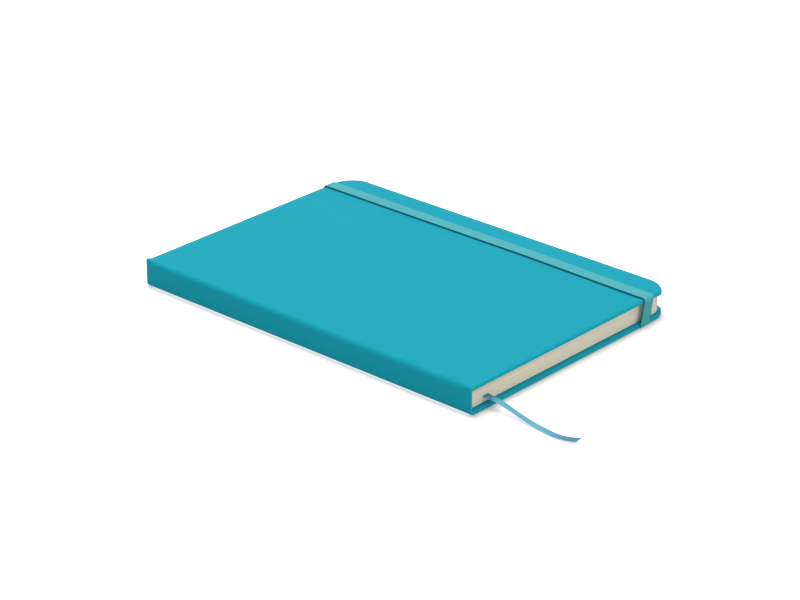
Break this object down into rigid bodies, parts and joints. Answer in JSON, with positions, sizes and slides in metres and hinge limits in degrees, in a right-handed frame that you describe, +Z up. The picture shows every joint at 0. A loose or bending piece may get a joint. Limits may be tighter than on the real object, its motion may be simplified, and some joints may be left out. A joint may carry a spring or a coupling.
{
  "type": "faux leather notebook",
  "caption": "Hardback notebook in a soft faux leather skin with rounded corners, cream pages, an elastic closure band across the front cover and a ribbon marker lying out at the tail.",
  "frame": {"origin": "under the middle of the closed covers, on the surface that the back cover lies on", "axes": "+Z up through the closed book from the back cover to the front cover, +Y along the spine from tail to head, +X across it from the spine to the fore-edge"},
  "size_m": [0.147, 0.2624, 0.015],
  "materials": {
    "cover_skin": "satin",
    "cover_board": "matte",
    "pages": "matte",
    "endpapers": "matte",
    "lining": "matte",
    "elastic": "matte",
    "ribbon": "satin"
  },
  "bodies": {
    "text_block": {"page_block": "pages", "front_flyleaf": "endpapers", "back_flyleaf": "endpapers", "spine_lining": "lining", "spine_card": "cover_board", "spine_leather": "cover_skin", "ribbon_inner": "ribbon", "ribbon_tail": "ribbon"},
    "front_cover": {"front_board": "cover_board", "front_leather": "cover_skin", "front_pastedown": "endpapers"},
    "back_cover": {"back_board": "cover_board", "back_leather": "cover_skin", "back_pastedown": "endpapers"},
    "closure_band": {"elastic_band": "elastic"}
  },
  "joints": [
    {"name": "front_cover_joint", "type": "hinge", "parent": "text_block", "child": "front_cover", "pos_m": [-0.072, 0, 0.0128], "axis": [0, -1, 0], "range_deg": [0, 179], "deforming": ["spine_leather", "elastic_band"]},
    {"name": "back_cover_joint", "type": "hinge", "parent": "text_block", "child": "back_cover", "pos_m": [-0.072, 0, 0.0015], "axis": [0, 1, 0], "range_deg": [0, 179], "deforming": ["spine_leather", "elastic_band"]},
    {"name": "band_slide", "type": "slide", "parent": "back_cover", "child": "closure_band", "axis": [1, 0, 0], "range_m": [0, 0.0232], "stiffness_N_per_m": 60, "deforming": ["elastic_band"]}
  ]
}
